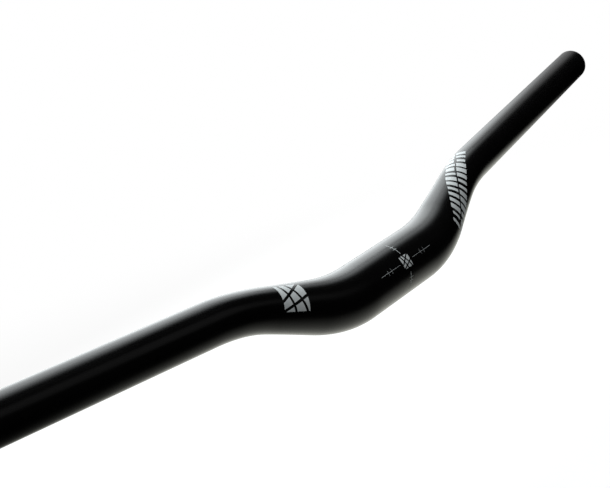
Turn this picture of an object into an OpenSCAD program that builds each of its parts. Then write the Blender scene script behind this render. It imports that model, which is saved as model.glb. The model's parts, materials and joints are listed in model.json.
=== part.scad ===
// Riser handlebar for a trail bicycle.
// It is one butted aluminium tube with open ends. The middle is thick for the stem clamp, the ends are
// thin for the grips and levers, and each side has two bends: one up into the rise, one back out of it.
//
// Frame: the origin is the middle of the stem clamp, on the tube's axis. X runs along the bar,
// Y towards the rider and Z up, with the bar turned in its stem as it is ridden.

/* [Overall] */
// Width of the bar from end to end, along the tube's axis as seen from the front
bar_width = 725; // [600:5:800]
// Height of the outer bends above the clamp
bend_rise = 23.5; // [18:0.5:40]
// Back sweep of the grips, seen from above
back_sweep = 7; // [4:0.5:12]
// Up sweep of the grips, seen from the front
up_sweep = 4; // [1:0.5:8]

/* [Tube] */
// Outside diameter in the stem clamp
clamp_d = 31.8; // [25.4:0.1:35]
// Outside diameter under the grips
grip_d = 22.2; // [20:0.1:24]
// Wall in the stem clamp
clamp_wall = 2.4; // [1.8:0.1:3.4]
// Wall under the grips
grip_wall = 1.8; // [1.4:0.1:2.4]
// Straight length in the stem clamp
clamp_length = 60; // [50:1:90]
// Length of tube over which each side tapers from the clamp to the grip diameter
taper_length = 90; // [60:1:140]

/* [Bends] */
// Angle of the rise, seen from the front
leg_up = 19.5; // [14:0.5:24]
// Angle of the rise, seen from above
leg_back = 6; // [2:0.5:9]
// Radius of the inner bends, on the tube's axis
inner_bend_r = 105; // [60:1:150]
// Radius of the outer bends, on the tube's axis
outer_bend_r = 145; // [80:1:190]

/* [Ends] */
// Chamfer round the outside of each end
end_chamfer = 0.6; // [0.2:0.1:0.8]
// Chamfer round the bore of each end
bore_chamfer = 0.4; // [0.2:0.1:0.6]

/* [Finish] */
// Colour of the anodised tube
tube_colour = "#161618";
// Sides of the tapered bends
sides = 48; // [24:4:56]
// Length of tube between two rings of the tapered bends
ring_step = 4.5; // [4:0.5:10]

/* [Hidden] */

// How far the tapered bends reach into the plain tube at both their ends, and how far under its skin
lap = 1;
lap_depth = 0.02;

clamp_r = clamp_d / 2;
grip_r = grip_d / 2;
clamp_half = clamp_length / 2;

// Directions of the three straight stretches of a side, from the middle outwards
clamp_dir = [1, 0, 0];
leg_dir = unit([1, tan(leg_back), tan(leg_up)]);
grip_dir = unit([1, tan(back_sweep), tan(up_sweep)]);

// Each bend is an arc that rounds a corner of the path
inner_turn = acos(clamp_dir * leg_dir);
outer_turn = acos(leg_dir * grip_dir);
inner_reach = inner_bend_r * tan(inner_turn / 2);
outer_reach = outer_bend_r * tan(outer_turn / 2);
inner_corner = [clamp_half + inner_reach, 0, 0];
outer_corner = inner_corner + leg_dir * bend_rise / leg_dir.z;
bar_end = outer_corner + grip_dir * (bar_width / 2 - outer_corner.x) / grip_dir.x;

// Lengths along the tube's axis, from the middle, at which each stretch ends
inner_end = clamp_half + arc_length(inner_bend_r, inner_turn);
leg_end = inner_end + norm(outer_corner - inner_corner) - inner_reach - outer_reach;
outer_end = leg_end + arc_length(outer_bend_r, outer_turn);
side_end = outer_end + norm(bar_end - outer_corner) - outer_reach;
taper_end = clamp_half + taper_length;
// The plain grip tube starts where the outer bend and the taper are both over
loft_end = max(outer_end, taper_end);

function unit(v) = v / norm(v);
function arc_length(r, turn) = PI * r * turn / 180;
function smooth(share) = share * share * (3 - 2 * share);

// Place and direction of the axis, [point, direction], a given length along a bend or a straight stretch
function on_bend(corner, from, to, r, turn, length) =
    let (
        angle = 180 * length / (PI * r),
        inward = unit(to - (from * to) * from),
        start = corner - from * r * tan(turn / 2)
    )
    [start + r * (sin(angle) * from + (1 - cos(angle)) * inward), cos(angle) * from + sin(angle) * inward];

function on_axis(length) =
    length < clamp_half ? [clamp_dir * length, clamp_dir]
    : length < inner_end
        ? on_bend(inner_corner, clamp_dir, leg_dir, inner_bend_r, inner_turn, length - clamp_half)
    : length < leg_end ? [inner_corner + leg_dir * (inner_reach + length - inner_end), leg_dir]
    : length < outer_end
        ? on_bend(outer_corner, leg_dir, grip_dir, outer_bend_r, outer_turn, length - leg_end)
    : [bar_end - grip_dir * (side_end - length), grip_dir];

// Outer radius and wall of the tube: both change smoothly over the taper
function taper_share(length) = smooth(min(max((length - clamp_half) / taper_length, 0), 1));
function outer_r(length) = clamp_r + (grip_r - clamp_r) * taper_share(length);
function wall(length) = clamp_wall + (grip_wall - clamp_wall) * taper_share(length);

// Two directions square to the axis, [level, upward]
function across(direction) =
    let (level = unit(cross([0, 0, 1], direction)))
    [level, cross(direction, level)];

function ring(length, r) =
    let (place = on_axis(length), axes = across(place[1]))
    [for (side = [0 : sides - 1])
        place[0] + r * (cos(360 * side / sides) * axes[0] + sin(360 * side / sides) * axes[1])];

// The tube's wall between two lengths, as one closed band of rings: out along the outside, over the
// end, and back along the bore
module lofted_tube(from, to) {
    count = ceil((to - from) / ring_step);
    places = [for (i = [0 : count]) from + (to - from) * i / count];
    buried = [for (i = [0 : count]) i == 0 || i == count ? lap_depth : 0];
    rings = concat(
        [for (i = [0 : count]) ring(places[i], outer_r(places[i]) - buried[i])],
        [for (i = [count : -1 : 0]) ring(places[i], outer_r(places[i]) - wall(places[i]) + buried[i])]
    );
    points = [for (one_ring = rings) each one_ring];
    faces = [
        for (i = [0 : len(rings) - 1], side = [0 : sides - 1])
            let (
                next_ring = (i + 1) % len(rings) * sides,
                next_side = (side + 1) % sides,
                corners = [i * sides + side, next_ring + side, next_ring + next_side, i * sides + next_side]
            )
            each [[corners[0], corners[1], corners[2]], [corners[0], corners[2], corners[3]]]
    ];
    polyhedron(points = points, faces = faces);
}

// A plain length of tube, with both edges of its far end chamfered
module plain_tube(length, r, wall, outer_cut, inner_cut) {
    rotate_extrude($fn = sides)
        polygon([
            [r - wall, 0], [r, 0], [r, length - outer_cut], [r - outer_cut, length],
            [r - wall + inner_cut, length], [r - wall, length - inner_cut]
        ]);
}

module clamp_tube() {
    rotate([0, 90, 0])
        translate([0, 0, -clamp_half])
            plain_tube(clamp_length, clamp_r, clamp_wall, 0, 0);
}

module grip_tube() {
    start = on_axis(loft_end)[0];
    axes = across(grip_dir);
    multmatrix([for (i = [0 : 2]) [axes[0][i], axes[1][i], grip_dir[i], start[i]]])
        plain_tube(side_end - loft_end, grip_r, grip_wall, end_chamfer, bore_chamfer);
}

module handlebar() {
    color(tube_colour) {
        clamp_tube();
        for (side = [0, 1])
            mirror([side, 0, 0]) {
                lofted_tube(clamp_half - lap, loft_end + lap);
                grip_tube();
            }
    }
}

handlebar();
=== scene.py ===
# %% [markdown]
# # A riser handlebar
# The real thing is one aluminium tube: thick in the middle, where the stem clamps it, thin at both
# ends, where the grips go, and bent twice on each side. It is shot peened, which leaves a very fine
# even grain, then anodised black and sealed to a satin shine. A few marks are printed on it in pale
# grey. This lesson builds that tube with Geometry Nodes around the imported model, wraps the print
# round its bends, and finishes both with node materials.
#
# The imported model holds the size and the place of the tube, with coarse faces. The tube made here
# has the same radii and the same middle line, worked out from the same few sizes, with faces fine
# enough for a close look.

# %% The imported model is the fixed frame
import json
import math

import bmesh
import bpy
import numpy as np
from mathutils import Matrix, Vector


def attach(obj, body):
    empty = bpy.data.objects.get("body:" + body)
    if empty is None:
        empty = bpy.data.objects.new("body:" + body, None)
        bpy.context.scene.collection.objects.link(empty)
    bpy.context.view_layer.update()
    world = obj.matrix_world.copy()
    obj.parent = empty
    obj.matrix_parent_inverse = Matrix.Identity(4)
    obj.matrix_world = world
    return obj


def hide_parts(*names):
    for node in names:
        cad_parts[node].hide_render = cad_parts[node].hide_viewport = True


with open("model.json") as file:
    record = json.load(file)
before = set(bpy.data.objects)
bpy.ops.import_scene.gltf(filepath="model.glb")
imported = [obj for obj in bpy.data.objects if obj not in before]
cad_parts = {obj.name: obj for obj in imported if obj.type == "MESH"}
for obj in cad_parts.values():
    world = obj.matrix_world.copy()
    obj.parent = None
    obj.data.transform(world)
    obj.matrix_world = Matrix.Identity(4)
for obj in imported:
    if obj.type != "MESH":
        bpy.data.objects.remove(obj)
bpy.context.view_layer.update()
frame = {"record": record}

# %% [markdown]
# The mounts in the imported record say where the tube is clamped, where the grips slide on and how
# wide its open ends are. Reading the sizes there keeps this script in step with the model. Only what
# no mount says, such as the radius of a bend, is written here.

# %% Sizes, in metres and radians
MM = 0.001
mounts = {mount["name"]: mount for mount in frame["record"]["mounts"]}
clamp, grip, plug = (mounts[name] for name in ("stem_clamp", "right_grip", "right_plug"))

CLAMP_R = clamp["dims"]["r_mm"] * MM
CLAMP_HALF = clamp["dims"]["length_mm"] * MM / 2
GRIP_R = grip["dims"]["r_mm"] * MM
CLAMP_WALL = 2.4 * MM
GRIP_WALL = GRIP_R - plug["dims"]["r_mm"] * MM
TAPER_LENGTH = 90 * MM
BEND_RISE = 23.5 * MM
INNER_BEND_R = 105 * MM
OUTER_BEND_R = 145 * MM
LEG_UP = math.radians(19.5)
LEG_BACK = math.radians(6)
END_CHAMFER = 0.6 * MM
BORE_CHAMFER = 0.4 * MM
EDGE_SOFT = 0.12 * MM
print(f"tube: {2 * CLAMP_R / MM:.1f} mm across in the clamp, {2 * GRIP_R / MM:.1f} mm under the grips")

# %% [markdown]
# The middle line of one side is three straight stretches joined by two arcs. Each arc rounds off a
# corner, as a bending tool does: it starts a little before the corner and ends as far behind it. The
# other side is the mirror image, so a length below zero simply mirrors the point.

# %% The middle line of the tube
def reach(radius, turn):
    """How far before and behind its corner an arc starts and ends."""
    return radius * math.tan(turn / 2)


clamp_dir = Vector((1, 0, 0))
leg_dir = Vector((1, math.tan(LEG_BACK), math.tan(LEG_UP))).normalized()
grip_dir = Vector(grip["axis"]).normalized()
inner_turn = clamp_dir.angle(leg_dir)
outer_turn = leg_dir.angle(grip_dir)
inner_reach = reach(INNER_BEND_R, inner_turn)
outer_reach = reach(OUTER_BEND_R, outer_turn)
inner_corner = clamp_dir * (CLAMP_HALF + inner_reach)
outer_corner = inner_corner + leg_dir * (BEND_RISE / leg_dir.z)
bar_end = Vector(grip["pos_m"]) + grip_dir * (grip["dims"]["length_mm"] * MM / 2 + END_CHAMFER)

INNER_END = CLAMP_HALF + INNER_BEND_R * inner_turn
LEG_END = INNER_END + (outer_corner - inner_corner).length - inner_reach - outer_reach
OUTER_END = LEG_END + OUTER_BEND_R * outer_turn
SIDE_END = OUTER_END + (bar_end - outer_corner).length - outer_reach


def on_bend(corner, come, go, radius, length):
    """Point and direction a given length along the arc that rounds a corner."""
    turn = come.angle(go)
    inward = (go - come * come.dot(go)).normalized()
    start = corner - come * reach(radius, turn)
    a = length / radius
    point = start + radius * (math.sin(a) * come + (1 - math.cos(a)) * inward)
    return point, math.cos(a) * come + math.sin(a) * inward


def on_axis(length):
    """Point and direction on the middle line, a signed length from the middle of the bar."""
    side = -1 if length < 0 else 1
    away = abs(length)
    if away < CLAMP_HALF:
        point, direction = clamp_dir * away, clamp_dir
    elif away < INNER_END:
        point, direction = on_bend(inner_corner, clamp_dir, leg_dir, INNER_BEND_R, away - CLAMP_HALF)
    elif away < LEG_END:
        point, direction = inner_corner + leg_dir * (inner_reach + away - INNER_END), leg_dir
    elif away < OUTER_END:
        point, direction = on_bend(outer_corner, leg_dir, grip_dir, OUTER_BEND_R, away - LEG_END)
    else:
        point, direction = bar_end - grip_dir * (SIDE_END - away), grip_dir
    return (Vector((side * point.x, point.y, point.z)),
            Vector((direction.x, side * direction.y, side * direction.z)))


def taper_share(length):
    """0 in the clamp, 1 under the grips, and a smooth change over the taper."""
    t = min(max((abs(length) - CLAMP_HALF) / TAPER_LENGTH, 0), 1)
    return t * t * (3 - 2 * t)


def skin_r(length):
    return CLAMP_R + (GRIP_R - CLAMP_R) * taper_share(length)


def bore_r(length):
    return skin_r(length) - CLAMP_WALL - (GRIP_WALL - CLAMP_WALL) * taper_share(length)


print(f"each side is {SIDE_END / MM:.1f} mm long; the bends end at {OUTER_END / MM:.1f} mm")

# %% [markdown]
# A sweep needs, at each place, two directions square to the middle line. Here they are a level one
# and an upward one. They travel as attributes of a plain line of points, which is all the data that
# the node trees need. A line like this can feed any number of trees: the tube's wall and the print.

# %% A line of points that carries the sweep's directions
def sweep_line(name, places):
    """A mesh of joined points with level, upward, radius and along attributes.
    places is a list of (length along the bar, radius there)."""
    lengths = [length for length, _ in places]
    spots = [on_axis(length) for length in lengths]
    level = [Vector((0, 0, 1)).cross(direction).normalized() for _, direction in spots]
    upward = [direction.cross(side) for (_, direction), side in zip(spots, level)]
    mesh = bpy.data.meshes.new(name)
    mesh.from_pydata([point for point, _ in spots], [(i, i + 1) for i in range(len(spots) - 1)], [])
    for key, vectors in (("level", level), ("upward", upward)):
        values = mesh.attributes.new(key, "FLOAT_VECTOR", "POINT").data
        values.foreach_set("vector", np.array(vectors, np.float32).ravel())
    for key, numbers in (("radius", [radius for _, radius in places]), ("along", lengths)):
        values = mesh.attributes.new(key, "FLOAT", "POINT").data
        values.foreach_set("value", np.array(numbers, np.float32))
    made = bpy.data.objects.new(name, mesh)
    bpy.context.scene.collection.objects.link(made)
    return made


# %% [markdown]
# Node trees built in a script read best when a node is one call: its kind, its settings, and what
# feeds each input. Two small helpers do that for every tree and every material below.

# %% Helpers for node trees
def add(tree, kind, feeds=None, **settings):
    """A new node. Each feed goes to the input of that name or number, as a link or a plain value."""
    node = tree.nodes.new(kind)
    for key, value in settings.items():
        setattr(node, key, value)
    for key, feed in (feeds or {}).items():
        if isinstance(feed, bpy.types.NodeSocket):
            tree.links.new(feed, node.inputs[key])
        else:
            node.inputs[key].default_value = feed
    return node


def math_node(tree, operation, *feeds):
    return add(tree, "ShaderNodeMath", dict(enumerate(feeds)), operation=operation).outputs[0]


def vector_node(tree, operation, *feeds, **named):
    feeds = {**dict(enumerate(feeds)), **named}
    return add(tree, "ShaderNodeVectorMath", feeds, operation=operation).outputs[0]


def new_tree(name, kind, inputs, outputs):
    """A node group with named sockets, each given as name: type. Returns it with its ends."""
    tree = bpy.data.node_groups.new(name, kind)
    for in_out, sockets in (("INPUT", inputs), ("OUTPUT", outputs)):
        for title, value_type in sockets.items():
            tree.interface.new_socket(title, in_out=in_out, socket_type="NodeSocket" + value_type)
    return tree, tree.nodes.new("NodeGroupInput").outputs, tree.nodes.new("NodeGroupOutput").inputs


def attribute(tree, name, data_type="FLOAT"):
    return add(tree, "GeometryNodeInputNamedAttribute", {"Name": name}, data_type=data_type).outputs[0]


def spoke(tree, angle, level, upward):
    """The direction out of the tube at an angle: 0 is towards the rider, and a quarter turn is up."""
    across = vector_node(tree, "SCALE", level, Scale=math_node(tree, "COSINE", angle))
    over = vector_node(tree, "SCALE", upward, Scale=math_node(tree, "SINE", angle))
    return vector_node(tree, "ADD", across, over)


# %% [markdown]
# The wall is one closed band of rings: out along the outside, over the rim, back along the bore and
# over the other rim. The tree lays out a flat grid with one row for each point of the sweep line and
# one column for each side of the ring, then moves every grid point to its place round the line. The
# grid's last row and column fall on the first ones, so merging them closes the tube. A circle swept
# along a curve would do for the outside, but not for the rim and the bore in one closed piece.

# %% The tree that rolls a wall from a sweep line
SEAM = 0.001 * MM


def wall_tree():
    tree, given, result = new_tree(
        "rolled_wall", "GeometryNodeTree",
        {"Geometry": "Geometry", "Sides": "Int", "Material": "Material"}, {"Geometry": "Geometry"})
    line = given["Geometry"]
    rows = add(tree, "GeometryNodeAttributeDomainSize", {"Geometry": line}).outputs["Point Count"]
    columns = math_node(tree, "ADD", given["Sides"], 1)
    grid = add(tree, "GeometryNodeMeshGrid", {"Vertices X": rows, "Vertices Y": columns})
    index = add(tree, "GeometryNodeInputIndex").outputs[0]
    row = math_node(tree, "FLOOR", math_node(tree, "DIVIDE", index, columns))
    column = math_node(tree, "SUBTRACT", index, math_node(tree, "MULTIPLY", row, columns))
    angle = math_node(tree, "MULTIPLY", math_node(tree, "DIVIDE", column, given["Sides"]), math.tau)

    def sampled(value, data_type):
        feeds = {"Geometry": line, "Value": value, "Index": row}
        return add(tree, "GeometryNodeSampleIndex", feeds, data_type=data_type).outputs[0]

    centre = sampled(add(tree, "GeometryNodeInputPosition").outputs[0], "FLOAT_VECTOR")
    level = sampled(attribute(tree, "level", "FLOAT_VECTOR"), "FLOAT_VECTOR")
    upward = sampled(attribute(tree, "upward", "FLOAT_VECTOR"), "FLOAT_VECTOR")
    radius = sampled(attribute(tree, "radius"), "FLOAT")
    along = sampled(attribute(tree, "along"), "FLOAT")
    out = vector_node(tree, "SCALE", spoke(tree, angle, level, upward), Scale=radius)
    place = vector_node(tree, "ADD", centre, out)

    around = math_node(tree, "MULTIPLY", angle, radius)
    flat = add(tree, "ShaderNodeCombineXYZ", {"X": along, "Y": around}).outputs[0]
    kept = add(tree, "GeometryNodeCaptureAttribute", {"Geometry": grid.outputs["Mesh"]})
    kept.capture_items.new("VECTOR", "flat")
    kept.capture_items.new("VECTOR", "place")
    tree.links.new(flat, kept.inputs["flat"])
    tree.links.new(place, kept.inputs["place"])
    feeds = {"Geometry": kept.outputs["Geometry"], "Name": "unrolled", "Value": kept.outputs["flat"]}
    unrolled = add(tree, "GeometryNodeStoreNamedAttribute", feeds, data_type="FLOAT2", domain="CORNER")
    rolled = add(tree, "GeometryNodeSetPosition",
                 {"Geometry": unrolled.outputs["Geometry"], "Position": kept.outputs["place"]})
    closed = add(tree, "GeometryNodeMergeByDistance", {"Geometry": rolled.outputs[0], "Distance": SEAM})
    smooth = add(tree, "GeometryNodeSetShadeSmooth", {"Geometry": closed.outputs[0]})
    real = add(tree, "GeometryNodeRealizeInstances", {"Geometry": smooth.outputs[0]})
    finished = add(tree, "GeometryNodeSetMaterial",
                   {"Geometry": real.outputs[0], "Material": given["Material"]})
    tree.links.new(finished.outputs[0], result["Geometry"])
    return tree


rolled_wall = wall_tree()
print(f"{rolled_wall.name}: {len(rolled_wall.nodes)} nodes")

# %% [markdown]
# A tree runs through a modifier. Its inputs are set by the identifiers of their sockets before the
# object is looked at for the first time. The result is then copied out as a plain mesh, so nothing
# live is left on the finished piece.

# %% Running a tree and keeping its result
def grown(host, tree, name, **values):
    """A new object whose mesh is what the tree makes of the host. The host is removed."""
    modifier = host.modifiers.new(name, "NODES")
    modifier.node_group = tree
    for item in tree.interface.items_tree:
        title = item.name.replace(" ", "_").lower()
        if item.in_out == "INPUT" and title in values:
            modifier[item.identifier] = values[title]
    ready = host.evaluated_get(bpy.context.evaluated_depsgraph_get())
    mesh = bpy.data.meshes.new_from_object(ready)
    host.modifiers.remove(modifier)
    bpy.data.objects.remove(host)
    mesh.name = name
    made = bpy.data.objects.new(name, mesh)
    bpy.context.scene.collection.objects.link(made)
    return made


def outward(mesh):
    """Turns every face of a closed mesh outwards."""
    shape = bmesh.new()
    shape.from_mesh(mesh)
    bmesh.ops.recalc_face_normals(shape, faces=shape.faces)
    shape.to_mesh(mesh)
    shape.free()


# %% [markdown]
# The grain and the shine come from nodes on Object coordinates, in metres, so they have the same
# scale all over. Peening leaves dents a few tenths of a millimetre wide. Both the bare tube and the
# thin print on it show them, so the grain is one shader group that both materials use.

# %% The peened grain, shared by the tube and its print
DENTS_PER_METRE = 2600
DENT_LEVELS, DENT_CRISPNESS = 2.0, 0.6
PATCHES_PER_METRE = 38
PATCH_LEVELS = 3.0


def grain_group():
    tree, given, result = new_tree(
        "peened_grain", "ShaderNodeTree",
        {"Dents per metre": "Float", "Patches per metre": "Float", "Depth": "Float", "Drift": "Float"},
        {"Height": "Float", "Drift": "Float"})
    place = add(tree, "ShaderNodeTexCoord").outputs["Object"]
    dents = add(tree, "ShaderNodeTexNoise", {
        "Vector": place, "Scale": given["Dents per metre"], "Detail": DENT_LEVELS,
        "Roughness": DENT_CRISPNESS})
    slow = add(tree, "ShaderNodeTexNoise", {
        "Vector": place, "Scale": given["Patches per metre"], "Detail": PATCH_LEVELS})
    centred = math_node(tree, "SUBTRACT", slow.outputs[0], 0.5)
    tree.links.new(math_node(tree, "MULTIPLY", dents.outputs[0], given["Depth"]), result["Height"])
    tree.links.new(math_node(tree, "MULTIPLY", centred, given["Drift"]), result["Drift"])
    return tree


grain = grain_group()


def grained(name, colour, depth, drift):
    """A new material, its tree and shader, with the grain already in the shader's Normal.
    Also returns the grain's slow drift, for the colour and the roughness."""
    material = bpy.data.materials.new(name)
    material.use_nodes = True
    material.diffuse_color = colour
    tree = material.node_tree
    shader = tree.nodes["Principled BSDF"]
    peened = add(tree, "ShaderNodeGroup", {
        "Dents per metre": DENTS_PER_METRE, "Patches per metre": PATCHES_PER_METRE,
        "Depth": depth, "Drift": drift}, node_tree=grain)
    bump = add(tree, "ShaderNodeBump", {"Height": peened.outputs["Height"], "Distance": 1.0})
    tree.links.new(bump.outputs[0], shader.inputs["Normal"])
    return material, tree, shader, peened.outputs["Drift"]


def mottled(tree, shader, share, light, dark):
    """Mixes two tones of one colour by a share that changes over the surface."""
    tone = add(tree, "ShaderNodeMix", {"Factor": share, "A": light, "B": dark}, data_type="RGBA")
    tree.links.new(tone.outputs["Result"], shader.inputs["Base Color"])


print(f"{grain.name}: {len(grain.nodes)} nodes")

# %% [markdown]
# Black anodising is a clear glassy layer dyed black. A metallic shader with a dark colour would
# dull every reflection alike. The real layer behaves like a dark plastic: almost no colour of its
# own, and a soft reflection that grows towards the edges, so the shader stays without metal. A slow
# drift in the roughness keeps the long highlight from looking drawn with a ruler. Faint lines along
# the tube, left by drawing it through its die, follow the unrolled coordinates of the wall.

# %% The black anodised finish
TUBE_BLACK = (0.0008, 0.0008, 0.0009, 1)
TUBE_GREYED = (0.0020, 0.0019, 0.0020, 1)
TUBE_ROUGHNESS = 0.21
TUBE_DENTS = 0.009 * MM
TUBE_DRIFT = 0.10
# Lines per metre along the tube and round it
DRAWN_LINES = (3, 900, 1)
DRAWN_LEVELS = 3.0
DRAWN_DRIFT = 0.10
GREY_PER_DRIFT = 3.0
SEALED_LAYER_IOR = 1.5


def anodised_black():
    material, tree, shader, drift = grained("anodised_black", TUBE_BLACK, TUBE_DENTS, TUBE_DRIFT)
    unrolled = add(tree, "ShaderNodeUVMap", uv_map="unrolled").outputs[0]
    stretched = add(tree, "ShaderNodeMapping", {"Vector": unrolled, "Scale": DRAWN_LINES}).outputs[0]
    drawn = add(tree, "ShaderNodeTexNoise",
                {"Vector": stretched, "Scale": 1.0, "Detail": DRAWN_LEVELS})
    line = math_node(tree, "MULTIPLY", math_node(tree, "SUBTRACT", drawn.outputs[0], 0.5), DRAWN_DRIFT)
    drift = math_node(tree, "ADD", drift, line)
    tree.links.new(math_node(tree, "ADD", drift, TUBE_ROUGHNESS), shader.inputs["Roughness"])
    share = math_node(tree, "MULTIPLY_ADD", drift, GREY_PER_DRIFT, 0.5)
    mottled(tree, shader, share, TUBE_BLACK, TUBE_GREYED)
    shader.inputs["IOR"].default_value = SEALED_LAYER_IOR
    return material


tube_finish = anodised_black()
print(f"{tube_finish.name}: {len(tube_finish.node_tree.nodes)} nodes")

# %% [markdown]
# The print is a thin layer of pale grey ink. It is duller than the anodising, and it follows the
# dents below it, so it gets the same grain with its own depth.

# %% The pale print
PRINT_GREY = (0.65, 0.70, 0.71, 1)
PRINT_SHADE = (0.51, 0.55, 0.56, 1)
PRINT_SHADE_SHARE = 0.4
PRINT_ROUGHNESS = 0.42
PRINT_DENTS = 0.005 * MM
PRINT_DRIFT = 1.2
ROUGH_PER_DRIFT = 0.1


def pale_print():
    material, tree, shader, drift = grained("pale_print", PRINT_GREY, PRINT_DENTS, PRINT_DRIFT)
    rough = math_node(tree, "MULTIPLY_ADD", drift, ROUGH_PER_DRIFT, PRINT_ROUGHNESS)
    tree.links.new(rough, shader.inputs["Roughness"])
    mottled(tree, shader, math_node(tree, "ADD", drift, PRINT_SHADE_SHARE), PRINT_GREY, PRINT_SHADE)
    return material


print_finish = pale_print()
print(f"{print_finish.name}: {len(print_finish.node_tree.nodes)} nodes")

# %% [markdown]
# Where the rows of the wall lie decides how smooth it looks. Straight stretches need few, the bends
# need one every millimetre or two. At the rim the section has real corners, and each is softened by
# a few rows on a small curve, because no cut edge is perfectly sharp and a soft one catches light.

# %% The rows of the wall
RING_SIDES = 96
BEND_STEP = 1.5 * MM
STRAIGHT_STEP = 8 * MM
# Length at each end that is left to the rows of the rim
RIM_LENGTH = 2 * END_CHAMFER
CORNER_ROWS = 4


def spaced(start, end, step):
    return list(np.linspace(start, end, max(2, math.ceil((end - start) / step) + 1)))


def softened(corners, size):
    """A run of section points with every corner but the first and last rounded."""
    run = [np.array(corners[0])]
    for before, corner, after in zip(corners, corners[1:], corners[2:]):
        before, corner, after = (np.array(p) for p in (before, corner, after))
        first = corner + (before - corner) * size / np.linalg.norm(before - corner)
        last = corner + (after - corner) * size / np.linalg.norm(after - corner)
        for t in np.linspace(0, 1, CORNER_ROWS):
            run.append((1 - t) ** 2 * first + 2 * t * (1 - t) * corner + t ** 2 * last)
    return [tuple(p) for p in run + [np.array(corners[-1])]]


side_lengths = sorted(set(
    spaced(0, CLAMP_HALF, STRAIGHT_STEP) + spaced(CLAMP_HALF, OUTER_END, BEND_STEP)
    + spaced(OUTER_END, SIDE_END - RIM_LENGTH, STRAIGHT_STEP)))
lengths = [-length for length in reversed(side_lengths[1:])] + side_lengths
end_bore_r = bore_r(SIDE_END)
rim = softened(
    [(SIDE_END - RIM_LENGTH, GRIP_R), (SIDE_END - END_CHAMFER, GRIP_R),
     (SIDE_END, GRIP_R - END_CHAMFER), (SIDE_END, end_bore_r + BORE_CHAMFER),
     (SIDE_END - BORE_CHAMFER, end_bore_r), (SIDE_END - RIM_LENGTH, end_bore_r)],
    EDGE_SOFT)[1:-1]
outside = [(length, skin_r(length)) for length in lengths]
bore = [(length, bore_r(length)) for length in reversed(lengths)]
other_rim = [(-length, radius) for length, radius in reversed(rim)]
wall_rows = outside + rim + bore + other_rim + outside[:1]

tube = grown(sweep_line("tube_rows", wall_rows), rolled_wall, "anodised_tube",
             sides=RING_SIDES, material=tube_finish)
outward(tube.data)
print(f"tube: {len(wall_rows)} rows, {len(tube.data.polygons)} faces")

# %% [markdown]
# The marks could be masks in the black finish, but then their edges would only be as sharp as a
# baked picture of them. Here each mark is a piece of its own. It is laid out flat first, as on the
# sheet that it is printed from: x runs along the bar, and y runs round it, with a quarter turn up
# and a half turn at the front. One group then wraps any flat shape round the tube, a hair above the
# skin. It samples the middle line where the shape lies, so a mark follows the bend and the taper.

# %% The group that wraps a flat print round the tube
SHEET_R = 12.5 * MM
PRINT_LIFT = 0.03 * MM
AXIS_STEP = 1 * MM


def wrap_group():
    tree, given, result = new_tree(
        "wrapped_on_tube", "GeometryNodeTree",
        {"Geometry": "Geometry", "Axis": "Object", "Material": "Material"}, {"Geometry": "Geometry"})
    line = add(tree, "GeometryNodeObjectInfo", {"Object": given["Axis"]}).outputs["Geometry"]
    curve = add(tree, "GeometryNodeMeshToCurve", {"Mesh": line}).outputs[0]
    sheet = add(tree, "ShaderNodeSeparateXYZ", {0: add(tree, "GeometryNodeInputPosition").outputs[0]})
    length = math_node(tree, "ADD", sheet.outputs["X"], SIDE_END)
    angle = math_node(tree, "DIVIDE", sheet.outputs["Y"], SHEET_R)

    def sampled(value, data_type, output):
        feeds = {"Curves": curve, "Value": value, "Length": length}
        node = add(tree, "GeometryNodeSampleCurve", feeds, mode="LENGTH", data_type=data_type)
        return node.outputs[output]

    level = sampled(attribute(tree, "level", "FLOAT_VECTOR"), "FLOAT_VECTOR", "Value")
    upward = sampled(attribute(tree, "upward", "FLOAT_VECTOR"), "FLOAT_VECTOR", "Value")
    radius = sampled(attribute(tree, "radius"), "FLOAT", "Value")
    centre = sampled(attribute(tree, "radius"), "FLOAT", "Position")
    height = math_node(tree, "ADD", math_node(tree, "ADD", radius, PRINT_LIFT), sheet.outputs["Z"])
    out = vector_node(tree, "SCALE", spoke(tree, angle, level, upward), Scale=height)
    moved = add(tree, "GeometryNodeSetPosition",
                {"Geometry": given["Geometry"], "Position": vector_node(tree, "ADD", centre, out)})
    real = add(tree, "GeometryNodeRealizeInstances", {"Geometry": moved.outputs[0]})
    finished = add(tree, "GeometryNodeSetMaterial",
                   {"Geometry": real.outputs[0], "Material": given["Material"]})
    tree.links.new(finished.outputs[0], result["Geometry"])
    return tree


wrapped = wrap_group()
axis_places = [(length, skin_r(length)) for length in spaced(-SIDE_END, SIDE_END, AXIS_STEP)]
axis = sweep_line("tube_axis", axis_places)
print(f"{wrapped.name}: {len(wrapped.nodes)} nodes, {len(axis_places)} points on the middle line")

# %% [markdown]
# A block mark sits on the front of the left bend, and a small one in the middle of the clamp zone.
# Each is a plain square with slanted gaps that cross. Laying tiles side by side would take the
# corners of each tile. It is easier to start from the whole square: a fine grid is cut along the
# edges of the gaps, and the faces inside them are taken out. Every edge is then clean, and the grid
# that is left has enough points to bend well.

# %% Flat shapes for the block marks and the centre lines
CELL = 1 * MM


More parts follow.
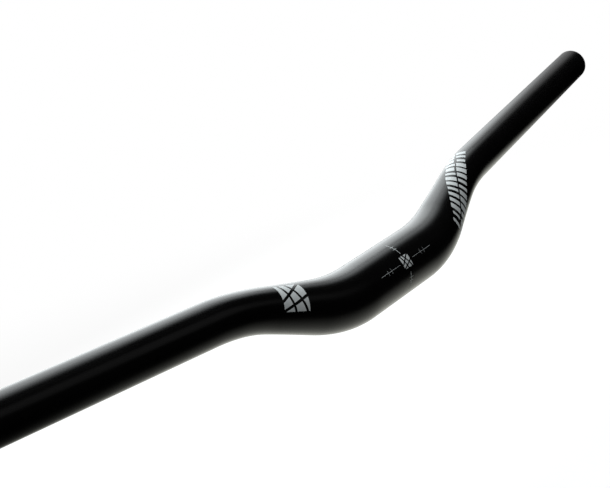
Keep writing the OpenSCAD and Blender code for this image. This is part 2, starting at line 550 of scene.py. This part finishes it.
def flat_patch(centre, size, gap_lines=(), gap_share=0):
    """A flat rectangle round a centre, with gaps cut across it. On a square of side 1, each gap is
    given as its turn in degrees and its distance from the middle, and gap_share is its width."""
    shape = bmesh.new()
    cells = [max(1, round(s / CELL)) for s in size]
    bmesh.ops.create_grid(shape, x_segments=cells[0], y_segments=cells[1], size=0.5)
    for turn, place in gap_lines:
        across = Vector((math.cos(math.radians(turn)), math.sin(math.radians(turn)), 0))
        for edge in (place - gap_share / 2, place + gap_share / 2):
            everything = shape.verts[:] + shape.edges[:] + shape.faces[:]
            bmesh.ops.bisect_plane(shape, geom=everything, plane_co=across * edge, plane_no=across)
        inside = [face for face in shape.faces
                  if abs(face.calc_center_median().dot(across) - place) < gap_share / 2]
        bmesh.ops.delete(shape, geom=inside, context="FACES")
    bmesh.ops.scale(shape, vec=(size[0], size[1], 1), verts=shape.verts)
    bmesh.ops.translate(shape, vec=(*centre, 0), verts=shape.verts)
    return shape


def flat_sheet(name, patches):
    """One flat mesh object of several patches, each given as the arguments of flat_patch."""
    mesh = bpy.data.meshes.new(name)
    whole = bmesh.new()
    for patch in patches:
        shape = flat_patch(**patch)
        part = bpy.data.meshes.new("patch")
        shape.to_mesh(part)
        shape.free()
        whole.from_mesh(part)
        bpy.data.meshes.remove(part)
    whole.to_mesh(mesh)
    whole.free()
    made = bpy.data.objects.new(name, mesh)
    bpy.context.scene.collection.objects.link(made)
    return made


# %% [markdown]
# The sheet is drawn for one middle radius of the tube. Where the tube is thicker, as in the clamp, a
# length round the bar is written smaller on the sheet, by the share of the two radii, so that it
# comes out at its true size.

# %% The block marks
GAP_LINES = [(-16, -0.18), (-24, 0.17), (56, -0.14), (66, 0.23)]
BLOCK_AT = (-90.3 * MM, math.radians(150) * SHEET_R)
BLOCK_SIZE = (16.4 * MM, 16.6 * MM)
BLOCK_GAP_SHARE = 0.09

CLAMP_SHARE = SHEET_R / CLAMP_R
CENTRE_AT = (0.0, math.radians(162.3) * SHEET_R)
CENTRE_SIZE = (8.2 * MM, 7.2 * MM * CLAMP_SHARE)
CENTRE_GAP_SHARE = 0.12


def tiled_mark(name, centre, size, gap_share):
    sheet = flat_sheet(name, [dict(centre=centre, size=size, gap_lines=GAP_LINES, gap_share=gap_share)])
    return grown(sheet, wrapped, name, axis=axis, material=print_finish)


block_mark = tiled_mark("block_mark", BLOCK_AT, BLOCK_SIZE, BLOCK_GAP_SHARE)
centre_mark = tiled_mark("centre_mark", CENTRE_AT, CENTRE_SIZE, CENTRE_GAP_SHARE)
print("faces of the two marks:", [len(mark.data.polygons) for mark in (block_mark, centre_mark)])

# %% [markdown]
# The centre lines help to set the bar straight in its stem: a cross of hairlines with short ticks,
# left open in the middle. They are few and straight, so each is one long thin patch of the same
# kind: two arms along the bar, two round it, and the ticks across them.

# %% The centre lines
# Widths of the arms and of the ticks: first of those that run along the bar, then of those round it
ARM_WIDTHS = (0.14 * MM, 0.29 * MM)
TICK_WIDTHS = (0.20 * MM, 0.11 * MM)
TICK_LENGTH = 3.2 * MM
ARM_ALONG = (6.4 * MM, 25.8 * MM)
ARM_ABOVE = (5.1 * MM, 14.8 * MM)
ARM_BELOW = (6.2 * MM, 17.2 * MM)
TICKS_ALONG = [15.5 * MM, 18.8 * MM]
TICKS_ROUND = [9.1 * MM, 11.1 * MM]


def line_patch(along, around, length, width):
    """A thin patch at a true distance along and round the bar from the middle of the cross."""
    return dict(centre=(CENTRE_AT[0] + along, CENTRE_AT[1] + around * CLAMP_SHARE),
                size=(length, width * CLAMP_SHARE))


def centre_lines():
    patches = []
    for side, arm_round in ((-1, ARM_ABOVE), (1, ARM_BELOW)):
        start, end = ARM_ALONG
        patches.append(line_patch(side * (start + end) / 2, 0, end - start, ARM_WIDTHS[0]))
        start, end = arm_round
        patches.append(line_patch(0, side * (start + end) / 2, ARM_WIDTHS[1], end - start))
        patches += [line_patch(side * tick, 0, TICK_WIDTHS[1], TICK_LENGTH) for tick in TICKS_ALONG]
        patches += [line_patch(0, side * tick, TICK_LENGTH, TICK_WIDTHS[0]) for tick in TICKS_ROUND]
    return patches


cross = centre_lines()
hairlines = grown(flat_sheet("line_sheet", cross), wrapped, "centre_lines",
                  axis=axis, material=print_finish)
print(f"centre lines: {len(cross)} lines and ticks")

# %% [markdown]
# Two rows of slanted bars run up the right leg, twisting from its front over its top. They repeat,
# so Geometry Nodes make them: a grid of points carries one bar each, and a seeded random width keeps
# the rows from looking like a ruler. Each bar leans, the two rows are turned as one, and the shared
# group wraps them round the bend.

# %% The tree of slanted bars
BAR_POINTS = (5, 8)
NARROWEST_SHARES = (0.4, 0.8, 1)
WIDEST_SHARES = (0.95, 1, 1)


def bar_rows_tree():
    tree, given, result = new_tree(
        "slanted_bar_rows", "GeometryNodeTree",
        {"Geometry": "Geometry", "Count": "Int", "Rows": "Int", "Pitch": "Float", "Row Pitch": "Float",
         "Bar Width": "Float", "Bar Height": "Float", "Lean": "Float", "Centre": "Vector",
         "Turn": "Float", "Seed": "Int", "Axis": "Object", "Material": "Material"},
        {"Geometry": "Geometry"})
    bar = add(tree, "GeometryNodeMeshGrid", {
        "Size X": given["Bar Width"], "Size Y": given["Bar Height"],
        "Vertices X": BAR_POINTS[0], "Vertices Y": BAR_POINTS[1]})
    last_column = math_node(tree, "SUBTRACT", given["Count"], 1)
    last_row = math_node(tree, "SUBTRACT", given["Rows"], 1)
    places = add(tree, "GeometryNodeMeshGrid", {
        "Size X": math_node(tree, "MULTIPLY", last_column, given["Pitch"]),
        "Size Y": math_node(tree, "MULTIPLY", last_row, given["Row Pitch"]),
        "Vertices X": given["Count"], "Vertices Y": given["Rows"]})
    width = add(tree, "FunctionNodeRandomValue",
                {"Min": NARROWEST_SHARES, "Max": WIDEST_SHARES, "Seed": given["Seed"]},
                data_type="FLOAT_VECTOR")
    copies = add(tree, "GeometryNodeInstanceOnPoints", {
        "Points": places.outputs["Mesh"], "Instance": bar.outputs["Mesh"], "Scale": width.outputs[0]})
    real = add(tree, "GeometryNodeRealizeInstances", {"Geometry": copies.outputs[0]})
    spot = add(tree, "ShaderNodeSeparateXYZ", {0: add(tree, "GeometryNodeInputPosition").outputs[0]})
    lean = math_node(tree, "MULTIPLY", spot.outputs["Y"], given["Lean"])
    shift = add(tree, "ShaderNodeCombineXYZ", {"X": lean}).outputs[0]
    leaning = add(tree, "GeometryNodeSetPosition", {"Geometry": real.outputs[0], "Offset": shift})
    turn = add(tree, "ShaderNodeCombineXYZ", {"Z": given["Turn"]}).outputs[0]
    laid = add(tree, "GeometryNodeTransform", {
        "Geometry": leaning.outputs[0], "Translation": given["Centre"], "Rotation": turn})
    feeds = {"Geometry": laid.outputs[0], "Axis": given["Axis"], "Material": given["Material"]}
    wrap = add(tree, "GeometryNodeGroup", feeds, node_tree=wrapped)
    tree.links.new(wrap.outputs[0], result["Geometry"])
    return tree


bar_rows = bar_rows_tree()
print(f"{bar_rows.name}: {len(bar_rows.nodes)} nodes")

# %% [markdown]
# This tree makes everything itself, so its host is an empty mesh. All the sizes of the band go in as
# values of the modifier. When the last mark is wrapped, the middle line is of no more use.

# %% The band of bars on the right leg
BAND_AT = (94.5 * MM, math.radians(135) * SHEET_R, 0)
BAND_TURN = math.radians(-22)
BARS, BAR_PITCH = 14, 5.2 * MM
BAR_ROWS, ROW_PITCH = 2, 7.5 * MM
BAR_WIDTH, BAR_HEIGHT = 4.4 * MM, 6.8 * MM
# Shift along the bar for each unit round it
BAR_LEAN = -0.2
BAR_SEED = 5

empty_sheet = bpy.data.objects.new("band_sheet", bpy.data.meshes.new("band_sheet"))
bpy.context.scene.collection.objects.link(empty_sheet)
bend_band = grown(
    empty_sheet, bar_rows, "bend_band", count=BARS, rows=BAR_ROWS, pitch=BAR_PITCH,
    row_pitch=ROW_PITCH, bar_width=BAR_WIDTH, bar_height=BAR_HEIGHT, lean=BAR_LEAN, centre=BAND_AT,
    turn=BAND_TURN, seed=BAR_SEED, axis=axis, material=print_finish)
bpy.data.objects.remove(axis)
print(f"bend band: {BARS * BAR_ROWS} bars, {len(bend_band.data.polygons)} faces")

# %% [markdown]
# Ink has a little thickness. A bare sheet would show nothing from the side and would have an open
# edge. A Solidify modifier gives each wrapped sheet a film of a few hundredths of a millimetre that
# reaches down into the skin, and the result is kept as a plain closed mesh. It needs sheets that
# face outwards, so each is turned first if it has to be.

# %% A film of ink instead of a bare sheet
INK_FILM = 0.045 * MM


def inked(piece):
    """Gives a wrapped sheet its thickness, below the side that it faces to."""
    solid = piece.modifiers.new("film", "SOLIDIFY")
    solid.thickness = INK_FILM
    solid.offset = -1
    ready = piece.evaluated_get(bpy.context.evaluated_depsgraph_get())
    mesh = bpy.data.meshes.new_from_object(ready)
    piece.modifiers.remove(solid)
    piece.data = mesh


def faces_out(piece):
    """Turns a wrapped sheet so that its faces look away from the tube, by the first face's side."""
    face = piece.data.polygons[0]
    middle_line = [on_axis(length)[0] for length, _ in axis_places]
    nearest = min(middle_line, key=lambda point: (point - face.center).length)
    if face.normal.dot(face.center - nearest) < 0:
        piece.data.flip_normals()


marks = [block_mark, centre_mark, hairlines, bend_band]
for mark in marks:
    faces_out(mark)
    inked(mark)
    print(f"{mark.name}: {len(mark.data.polygons)} faces")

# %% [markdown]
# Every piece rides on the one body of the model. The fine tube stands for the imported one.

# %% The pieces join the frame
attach(tube, "root")
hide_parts("handlebar")
for mark in marks:
    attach(mark, "root")
print("riding on root:", [piece.name for piece in [tube] + marks])

# %% [markdown]
# The picture was taken from in front of the bar, left of it and a little above it, with the camera
# turned on its own axis, so that the bar rises from the lower left to the upper right. The exact
# place was worked out from the outline of the bar. The focal length is in pixels of the picture.

# %% The camera
PICTURE_W = 610
FOCAL_PX = 1324.8
SENSOR_MM = 36
NEAREST_SEEN = 0.01
CAMERA_AT = Vector((-0.56832, -0.41237, 0.15774))
YAW, PITCH, ROLL = math.radians(51.03), math.radians(-10.40), math.radians(-18.17)


def add_camera():
    """A camera looking by yaw from +Y towards +X, by pitch above the level, and rolled to its right."""
    forward = Vector((
        math.sin(YAW) * math.cos(PITCH), math.cos(YAW) * math.cos(PITCH), math.sin(PITCH)))
    level = Vector((math.cos(YAW), -math.sin(YAW), 0))
    above = level.cross(forward)
    right = math.cos(ROLL) * level + math.sin(ROLL) * above
    up = math.cos(ROLL) * above - math.sin(ROLL) * level
    data = bpy.data.cameras.new("camera")
    data.sensor_width = SENSOR_MM
    data.lens = FOCAL_PX * SENSOR_MM / PICTURE_W
    data.clip_start = NEAREST_SEEN
    camera = bpy.data.objects.new("camera", data)
    turned = Matrix((right, up, -forward)).transposed().to_4x4()
    camera.matrix_world = Matrix.Translation(CAMERA_AT) @ turned
    bpy.context.scene.collection.objects.link(camera)
    bpy.context.scene.camera = camera
    return camera


camera = add_camera()
print(f"camera: {camera.data.lens:.1f} mm lens, {CAMERA_AT.length:.3f} m from the middle of the clamp")

# %% [markdown]
# A black tube is drawn by what it mirrors, and hardly by the light that falls on it. So the studio
# is planned as a set of reflections: bright above and behind, dark in front. What the camera sees
# straight on stays plain white. The Light Path node keeps the two apart: it tells rays that come
# from the camera from those that the tube mirrors.

# %% Helpers for what the camera and the bar see
def light_path(tree):
    """Two shares: of rays from the camera, and of rays that the bar mirrors or lets through."""
    rays = add(tree, "ShaderNodeLightPath").outputs
    mirrored = math_node(tree, "MAXIMUM", rays["Is Glossy Ray"], rays["Is Transmission Ray"])
    return rays["Is Camera Ray"], mirrored


def faded(tree, value, start, end, low, high):
    """A value eased from low at start to high at end."""
    feeds = {"Value": value, "From Min": start, "From Max": end, "To Min": low, "To Max": high}
    return add(tree, "ShaderNodeMapRange", feeds, interpolation_type="SMOOTHSTEP").outputs[0]


def chosen(tree, share, otherwise, there):
    return add(tree, "ShaderNodeMix", {"Factor": share, "A": otherwise, "B": there}).outputs["Result"]


# %% [markdown]
# The floor lies well below the bar. To the camera it is a pale matt floor that turns plain white
# with distance, and the bar's soft shadow falls on the matt part. The tube mirrors something else in
# it: one pool of light behind the bar, which draws the soft lower edge of the tube. The pool is a
# long soft disc, and it fades out on the left, where that edge dies away.

# %% The floor
FLOOR_DROP = 130 * MM
FLOOR_SIZE = 8.0
FLOOR_TONE = (0.85, 0.85, 0.85, 1)
FLOOR_WHITE_SHARE = 0.72
FADE_START, FADE_END = 0.3, 1.2
POOL_AT = (0.20, 0.35, 0.0)
POOL_SHAPE_SHARES = (0.72, 1, 0)
POOL_FULL, POOL_EDGE = 0.25, 0.52
POOL_LEFT_START, POOL_LEFT_FULL = -0.26, 0.04
POOL_COLOUR = (0.99, 1.0, 0.91, 1)


def floor_material():
    material = bpy.data.materials.new("pale_floor")
    material.use_nodes = True
    tree = material.node_tree
    tree.nodes.clear()
    by_camera, _ = light_path(tree)
    spot = add(tree, "ShaderNodeTexCoord").outputs["Object"]
    along = add(tree, "ShaderNodeSeparateXYZ", {0: spot}).outputs["X"]

    def away(centre, shape):
        offset = vector_node(tree, "MULTIPLY", vector_node(tree, "SUBTRACT", spot, centre), shape)
        return add(tree, "ShaderNodeVectorMath", {0: offset}, operation="LENGTH").outputs["Value"]

    disc = faded(tree, away(POOL_AT, POOL_SHAPE_SHARES), POOL_FULL, POOL_EDGE, 1.0, 0.0)
    left = faded(tree, along, POOL_LEFT_START, POOL_LEFT_FULL, 0.0, 1.0)
    pool = math_node(tree, "MULTIPLY", disc, left)
    far = faded(tree, away((0, 0, 0), (1, 1, 0)), FADE_START, FADE_END, FLOOR_WHITE_SHARE, 1.0)
    matt = add(tree, "ShaderNodeBsdfDiffuse", {"Color": FLOOR_TONE})
    colour = add(tree, "ShaderNodeMix", {"Factor": by_camera, "A": POOL_COLOUR, "B": (1, 1, 1, 1)},
                 data_type="RGBA").outputs["Result"]
    strength = chosen(tree, by_camera, pool, 1.0)
    glow = add(tree, "ShaderNodeEmission", {"Color": colour, "Strength": strength})
    share = chosen(tree, by_camera, 1.0, far)
    mixed = add(tree, "ShaderNodeMixShader", {0: share, 1: matt.outputs[0], 2: glow.outputs[0]})
    add(tree, "ShaderNodeOutputMaterial", {"Surface": mixed.outputs[0]})
    return material


def add_floor():
    mesh = bpy.data.meshes.new("floor")
    half = FLOOR_SIZE / 2
    corners = [(-half, -half), (half, -half), (half, half), (-half, half)]
    mesh.from_pydata([(x, y, -FLOOR_DROP) for x, y in corners], [], [(0, 1, 2, 3)])
    mesh.materials.append(floor_material())
    floor = bpy.data.objects.new("floor", mesh)
    bpy.context.scene.collection.objects.link(floor)
    return floor


floor = add_floor()
print(f"floor: {FLOOR_SIZE:.0f} m square, {FLOOR_DROP / MM:.0f} mm below the middle of the clamp")

# %% [markdown]
# Two large panels light the bar, each about half a metre from it. The softbox stands behind it and
# makes the bright upper rim. The top panel hangs over it and makes the wide grey band below that rim.
# Its front edge fades softly, so the band runs out into the black without a hard line, as under a
# lamp with a diffuser. Both panels also fade towards their right-hand end, so the rim of the bar grows
# greyer towards the right grip. The top panel is turned a few degrees, its right end to the front,
# which carries the band a little further down over the left-hand bends. A light's energy is divided by
# its area here, so that brightness 1 mirrors as plain white.

# %% The two panels
PANEL_COLOUR = (0.93, 0.985, 1.0)
SOFTBOX_AT, SOFTBOX_SIZE, SOFTBOX_BRIGHTNESS = (0.1375, 0.41, 0.285), (2.025, 0.72), 2.05
SOFTBOX_FRONT_SHARE, SOFTBOX_RIGHT_SHARE, SOFTBOX_TURN = 0, 0.27, 0
TOP_PANEL_AT, TOP_PANEL_SIZE, TOP_PANEL_BRIGHTNESS = (0.1125, 0.04, 0.5), (1.975, 0.277), 1.4
TOP_PANEL_FRONT_SHARE, TOP_PANEL_RIGHT_SHARE, TOP_PANEL_TURN = 0.85, 0.28, math.radians(-4)


def add_panel(name, place, size, brightness, front_share, right_share, turn):
    """A panel that faces the bar's middle line, on the scale where 1 is white. It fades towards its
    front and its right edge, over these shares of its depth and its width, and it is turned in its
    own plane."""
    data = bpy.data.lights.new(name, "AREA")
    data.shape = "RECTANGLE"
    data.size, data.size_y = size
    data.energy = brightness * math.pi * size[0] * size[1]
    data.color = PANEL_COLOUR
    data.use_nodes = True
    tree = data.node_tree
    # Parametric runs from 0 to 1 over a panel, in X from its right end and in Y from its back edge
    parametric = add(tree, "ShaderNodeNewGeometry").outputs["Parametric"]
    spot = add(tree, "ShaderNodeSeparateXYZ", {0: parametric}).outputs
    strength = faded(tree, spot["X"], 0, right_share, 0.0, 1.0)
    if front_share:
        front = faded(tree, spot["Y"], 1, 1 - front_share, 0.0, 1.0)
        strength = math_node(tree, "MULTIPLY", strength, front)
    tree.links.new(strength, tree.nodes["Emission"].inputs["Strength"])
    lamp = bpy.data.objects.new(name, data)
    lamp.location = place
    to_the_bar = Vector((place[0], 0, 0)) - Vector(place)
    lamp.rotation_euler = to_the_bar.to_track_quat("-Z", "Y").to_euler()
    lamp.rotation_euler.rotate_axis("Z", turn)
    bpy.context.scene.collection.objects.link(lamp)
    print(f"{name}: {size[0]:.2f} by {size[1]:.2f} m, {to_the_bar.length:.2f} m from the bar")


add_panel("softbox", SOFTBOX_AT, SOFTBOX_SIZE, SOFTBOX_BRIGHTNESS,
          SOFTBOX_FRONT_SHARE, SOFTBOX_RIGHT_SHARE, SOFTBOX_TURN)
add_panel("top_panel", TOP_PANEL_AT, TOP_PANEL_SIZE, TOP_PANEL_BRIGHTNESS,
          TOP_PANEL_FRONT_SHARE, TOP_PANEL_RIGHT_SHARE, TOP_PANEL_TURN)

# %% [markdown]
# The surround is plain white to the camera. The tube mirrors it as white only behind the bar, and at
# part strength, so that the rim stays below white. In front it is dark, which keeps the face of the
# tube black, apart from one dim window, which draws the faint streak along it. Soft light comes from
# all of it, more from above than from below, and reaches the pale print.

# %% The surround
BEHIND_START, BEHIND_FULL, BEHIND_BRIGHTNESS = -0.05, 0.25, 0.40
WINDOW_TOWARDS = (0.51, -0.77, 0.38)
WINDOW_START, WINDOW_FULL, WINDOW_BRIGHTNESS = 0.95, 0.99, 0.115
FILL_START, FILL_FULL = -0.1, 0.9
FILL_LOW, FILL_HIGH = 0.12, 0.85


def add_surround():
    world = bpy.data.worlds.new("surround")
    bpy.context.scene.world = world
    world.use_nodes = True
    tree = world.node_tree
    tree.nodes.clear()
    by_camera, mirrored = light_path(tree)
    direction = add(tree, "ShaderNodeTexCoord").outputs["Generated"]
    towards = add(tree, "ShaderNodeSeparateXYZ", {0: direction}).outputs
    facing = add(tree, "ShaderNodeVectorMath", {0: direction, 1: WINDOW_TOWARDS},
                 operation="DOT_PRODUCT").outputs["Value"]
    window = faded(tree, facing, WINDOW_START, WINDOW_FULL, 0.0, WINDOW_BRIGHTNESS)
    behind = faded(tree, towards["Y"], BEHIND_START, BEHIND_FULL, 0.0, BEHIND_BRIGHTNESS)
    seen_by_bar = math_node(tree, "ADD", window, behind)
    fill = faded(tree, towards["Z"], FILL_START, FILL_FULL, FILL_LOW, FILL_HIGH)
    strength = chosen(tree, by_camera, chosen(tree, mirrored, fill, seen_by_bar), 1.0)
    glow = add(tree, "ShaderNodeBackground", {"Color": (1, 1, 1, 1), "Strength": strength})
    add(tree, "ShaderNodeOutputWorld", {"Surface": glow.outputs[0]})
    return world


surround = add_surround()
print(f"{surround.name}: {len(surround.node_tree.nodes)} nodes")

# %% [markdown]
# Standard view keeps every colour as it was set.

# %% The last lines
bpy.context.scene.view_settings.view_transform = "Standard"
